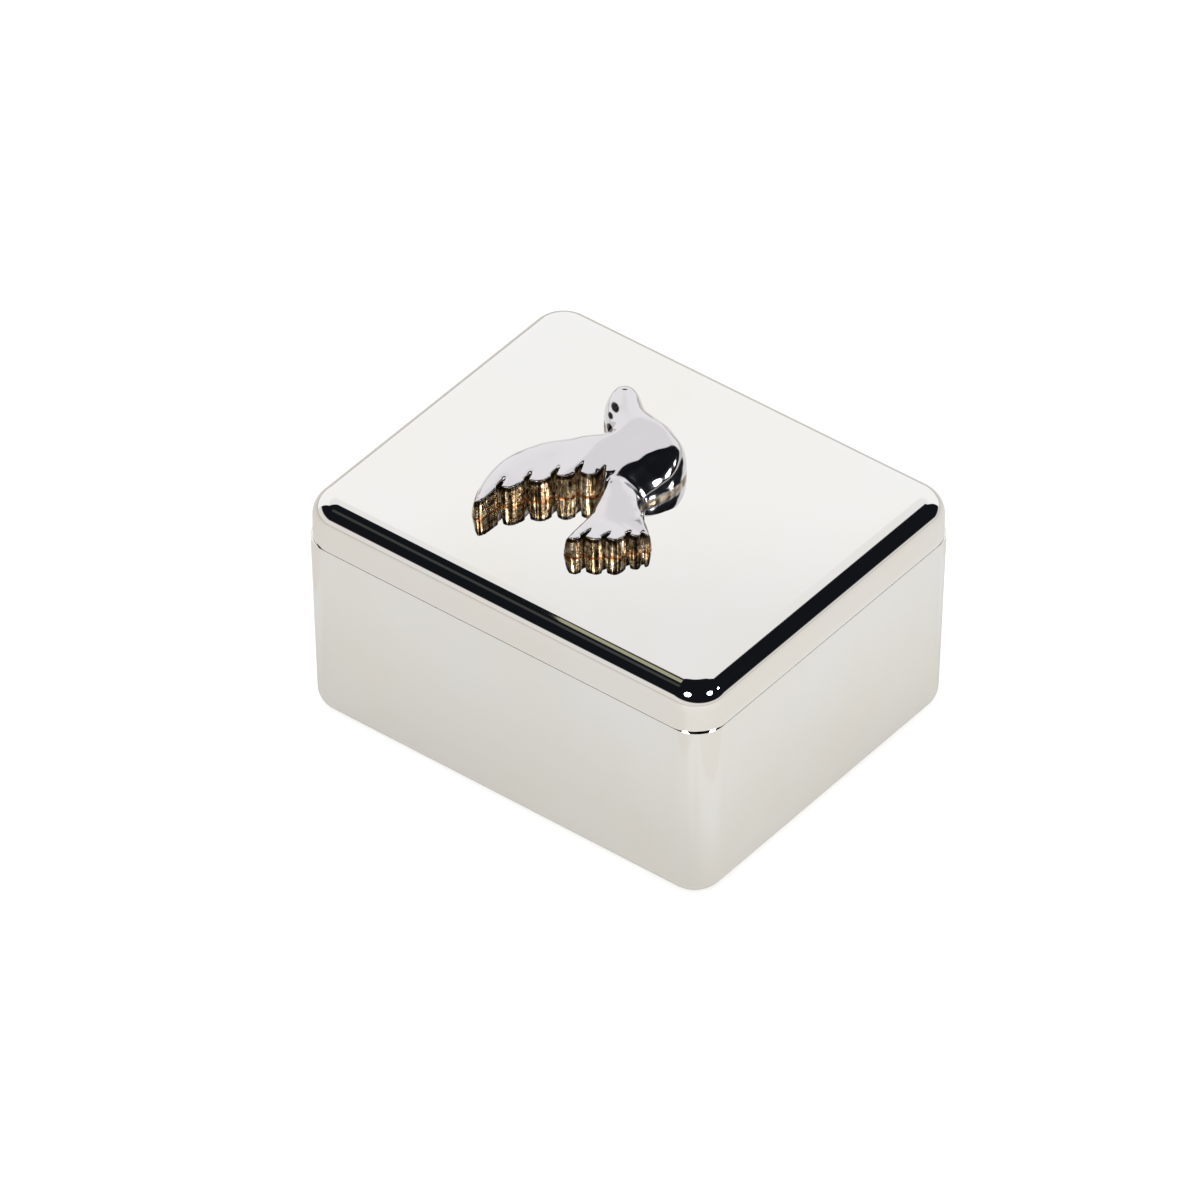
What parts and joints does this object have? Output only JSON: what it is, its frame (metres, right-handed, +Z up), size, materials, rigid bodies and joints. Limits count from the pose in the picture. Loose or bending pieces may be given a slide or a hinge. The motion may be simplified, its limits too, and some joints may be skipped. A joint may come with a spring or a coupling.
{
  "type": "keepsake box",
  "caption": "Silver-plated rectangular keepsake box with rounded edges, a hinged lid carrying a cast flying dove, and a velvet-lined inside.",
  "frame": {"origin": "Centre of the felt under the base, on the surface that the box stands on.", "axes": "+X along the long side, to the right seen from the front. +Y to the back, where the hinge is. +Z up."},
  "size_m": [0.1, 0.0827, 0.0627],
  "materials": {
    "polished_silver": "mirror-polished silver plate",
    "satin_silver": "soft silver plate over a casting, darkened with brown in its deep places",
    "hinge_metal": "plated, plain",
    "steel": "bright zinc",
    "navy_velvet": "short velvet pile",
    "black_felt": "pressed felt",
    "grey_card": "pressed card, matt"
  },
  "bodies": {
    "base": {"base_shell": "polished_silver", "base_felt": "black_felt", "lining_tray": "navy_velvet", "floor_board": "grey_card", "floor_pad": "navy_velvet", "hinge_base_leaf": "hinge_metal", "hinge_pin": "steel"},
    "lid": {"lid_shell": "polished_silver", "lid_board": "grey_card", "lid_pad": "navy_velvet", "hinge_lid_leaf": "hinge_metal", "dove": "satin_silver", "dove_screw_body": "steel", "dove_screw_wing": "steel", "dove_washer_body": "steel", "dove_washer_wing": "steel"}
  },
  "joints": [
    {"name": "lid_hinge", "type": "hinge", "parent": "base", "child": "lid", "pos_m": [0, 0.0401, 0.0434], "axis": [-1, 0, 0], "range_deg": [0, 100]}
  ]
}
